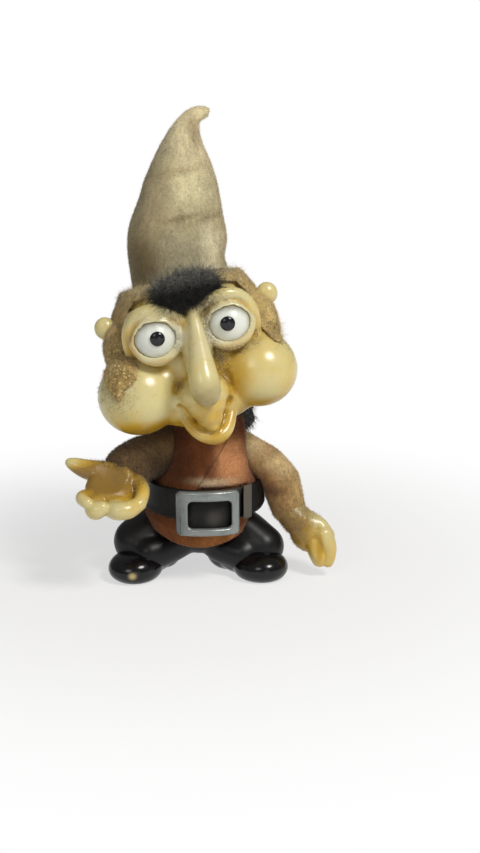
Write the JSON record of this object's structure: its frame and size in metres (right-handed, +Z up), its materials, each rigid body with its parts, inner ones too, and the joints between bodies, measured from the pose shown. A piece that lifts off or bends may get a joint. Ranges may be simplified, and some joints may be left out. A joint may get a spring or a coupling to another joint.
{
  "type": "nodding gnome figurine",
  "caption": "Small flocked gnome with a tall bent hat and an oversized glossy face on a hidden neck spring, belt with a square buckle, one palm held out.",
  "frame": {"origin": "on the floor, under the middle of the figurine's bounding box", "axes": "+Z up, the gnome looks along -Y, its left hand is on the +X side"},
  "size_m": [0.0528, 0.0402, 0.0916],
  "materials": {
    "face_vinyl": "glossy aged vinyl",
    "eye_white": "satin paint",
    "pupil_black": "glossy paint",
    "hat_flock": "flocked",
    "hair_flock": "flocked",
    "dark_fur": "long pile fur",
    "tunic_flock": "flocked",
    "sleeve_flock": "flocked",
    "belt_black": "worn satin paint",
    "buckle_grey": "satin metallic paint",
    "trouser_flock": "worn flock",
    "shoe_gloss": "glossy paint",
    "plug_wood": "plain turned wood",
    "spring_steel": "plain wire"
  },
  "bodies": {
    "body": {"tunic": "tunic_flock", "tunic_front_panel": "tunic_flock", "belt": "belt_black", "buckle_pad": "belt_black", "belt_keeper": "belt_black", "buckle": "buckle_grey", "trousers": "trouser_flock", "right_shoe": "shoe_gloss", "left_shoe": "shoe_gloss", "right_sleeve": "sleeve_flock", "left_sleeve": "sleeve_flock", "right_hand": "face_vinyl", "left_hand": "face_vinyl", "body_plug": "plug_wood"},
    "neck_spring": {"neck_spring": "spring_steel"},
    "head_plug": {"head_plug": "plug_wood"},
    "head": {"head": "face_vinyl", "right_eye": "eye_white", "left_eye": "eye_white", "right_pupil": "pupil_black", "left_pupil": "pupil_black", "hat": "hat_flock", "hair": "hair_flock", "forelock": "dark_fur", "nape_fur": "dark_fur"}
  },
  "joints": [
    {"name": "head_nod", "type": "hinge", "parent": "body", "child": "neck_spring", "pos_m": [0.0005, 0.0044, 0.033], "axis": [1, 0, 0], "range_deg": [-8, 7], "stiffness_Nm_per_rad": 0.012, "springref_deg": -2.64, "deforming": ["neck_spring"]},
    {"name": "head_sway", "type": "hinge", "parent": "neck_spring", "child": "head_plug", "pos_m": [0.0005, 0.0044, 0.033], "axis": [0, 1, 0], "range_deg": [-3, 16], "stiffness_Nm_per_rad": 0.012, "springref_deg": 1.89},
    {"name": "head_turn", "type": "hinge", "parent": "head_plug", "child": "head", "pos_m": [0.0005, 0.0044, 0.033], "axis": [-0.1994, 0, 0.9799], "range_deg": [-10, 10], "stiffness_Nm_per_rad": 0.012, "springref_deg": 0.52}
  ]
}
